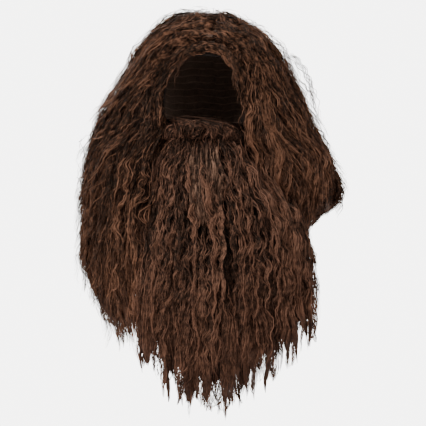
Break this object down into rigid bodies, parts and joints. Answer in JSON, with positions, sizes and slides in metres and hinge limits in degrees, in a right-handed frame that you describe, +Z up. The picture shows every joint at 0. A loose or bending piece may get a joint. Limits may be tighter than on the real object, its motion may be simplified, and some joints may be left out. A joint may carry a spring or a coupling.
{
  "type": "long wavy wig and full beard costume set",
  "caption": "Long wavy wig on an open fabric cap with a matching wide full beard, moustache and elastic strap, in the form they take when worn.",
  "frame": {"origin": "the point where the top of the head meets the inside of the wig cap", "axes": "+Z up, -Y out of the face opening, +X towards the viewer's right when the set is seen from the front"},
  "size_m": [0.4034, 0.3125, 0.6134],
  "materials": {
    "hair": "fine waved synthetic fibre with a soft sheen, dark brown",
    "light_hair": "straighter synthetic fibre with a soft sheen, mid brown",
    "cap_fabric": "dark brown matt net with sewn weft rows",
    "elastic": "matt ribbed black elastic"
  },
  "bodies": {
    "root": {"wig_cap": "cap_fabric", "cap_band": "elastic", "fringe": "hair", "hair_left": "hair", "hair_right": "hair", "hair_back": "hair", "beard_backing": "cap_fabric", "beard_strap": "elastic", "moustache_left": "hair", "moustache_right": "hair", "beard_hair": "hair", "chin_tuft": "light_hair"}
  },
  "joints": []
}
